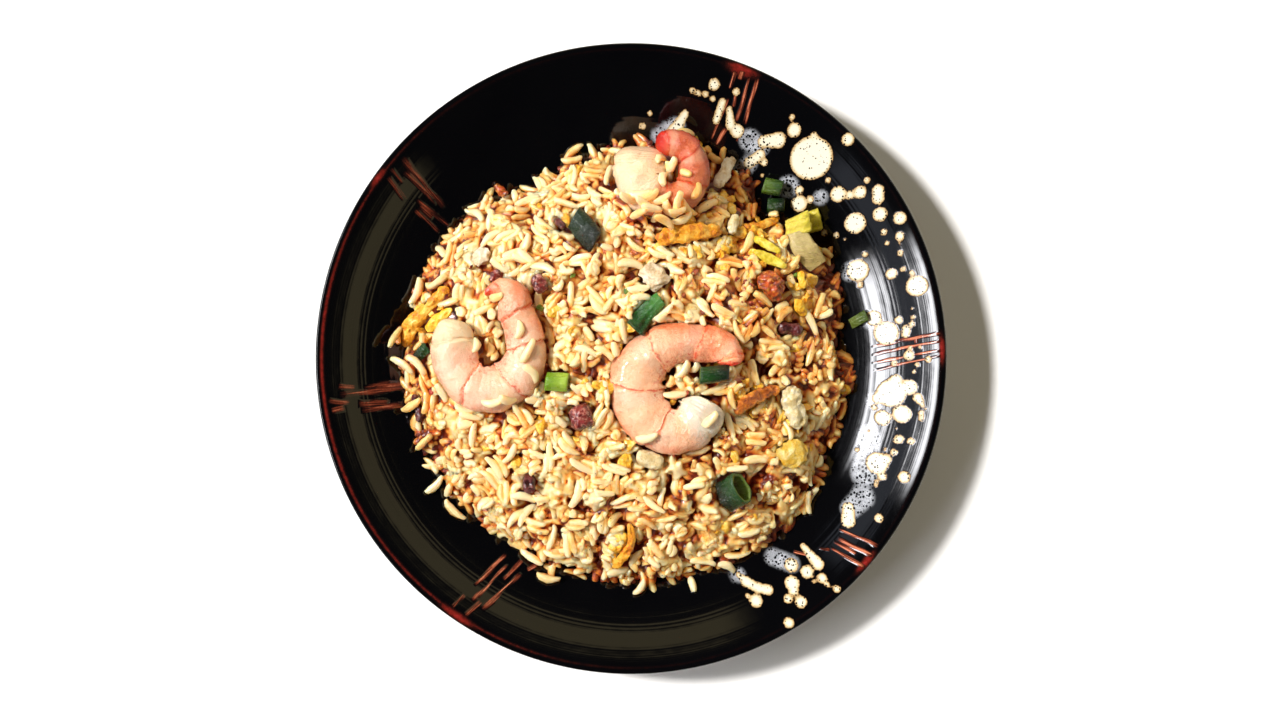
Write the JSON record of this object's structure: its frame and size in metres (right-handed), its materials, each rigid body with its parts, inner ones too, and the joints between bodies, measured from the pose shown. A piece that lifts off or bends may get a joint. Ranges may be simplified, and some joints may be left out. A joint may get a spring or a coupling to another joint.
{
  "type": "fried rice dish",
  "caption": "Heap of fried rice with curled prawns, egg, sausage and spring onion, served in a shallow round black-glazed dish on a foot ring.",
  "frame": {"origin": "middle of the dish's foot ring, on the table plane", "axes": "+Z up along the dish's axis; seen from above with +Y up, a curled prawn lies left of the middle, one at the middle and one towards +Y"},
  "size_m": [0.22, 0.22, 0.0474],
  "materials": {
    "dish_glaze": "black gloss glaze with a rust rim, rust strokes and a cream splash",
    "rice": "cooked long rice, oiled, satin",
    "prawn": "cooked peeled prawn, moist",
    "spring_onion": "cut green spring onion, moist",
    "leek": "cooked pale leek and onion, moist",
    "sausage": "cured red sausage, oily",
    "fried_egg": "fried beaten egg, browned in places",
    "egg_white": "set egg white and pale rice cake, satin",
    "chicken": "cooked white meat, fibrous"
  },
  "bodies": {
    "root": {"dish": "dish_glaze", "fried_rice": "rice", "prawn_left": "prawn", "prawn_centre": "prawn", "prawn_top": "prawn", "spring_onion_leaf": "spring_onion", "spring_onion_fold": "spring_onion", "spring_onion_tube": "spring_onion", "spring_onion_ridged": "spring_onion", "spring_onion_roll": "spring_onion", "spring_onion_upper": "spring_onion", "spring_onion_lower": "spring_onion", "spring_onion_small": "spring_onion", "spring_onion_dark": "spring_onion", "leek_wedge": "leek", "onion_slice": "leek", "sausage_cube": "sausage", "sausage_dark": "sausage", "sausage_crumple": "sausage", "sausage_by_prawn": "sausage", "sausage_purple": "sausage", "sausage_strip_top": "sausage", "sausage_strip_left": "sausage", "sausage_edge": "sausage", "sausage_flake": "sausage", "egg_left_long": "fried_egg", "egg_left_short": "fried_egg", "egg_sheet": "fried_egg", "egg_curl": "fried_egg", "egg_strip_upper": "fried_egg", "egg_strip_lower": "fried_egg", "egg_brown_strip": "fried_egg", "egg_strip_bottom": "fried_egg", "egg_bright_upper": "fried_egg", "egg_bright_lower": "fried_egg", "egg_chunk": "egg_white", "egg_white_clump": "egg_white", "egg_white_bit": "egg_white", "pale_block": "egg_white", "chicken_flake": "chicken", "chicken_shred": "chicken", "chicken_left": "chicken"}
  },
  "joints": []
}
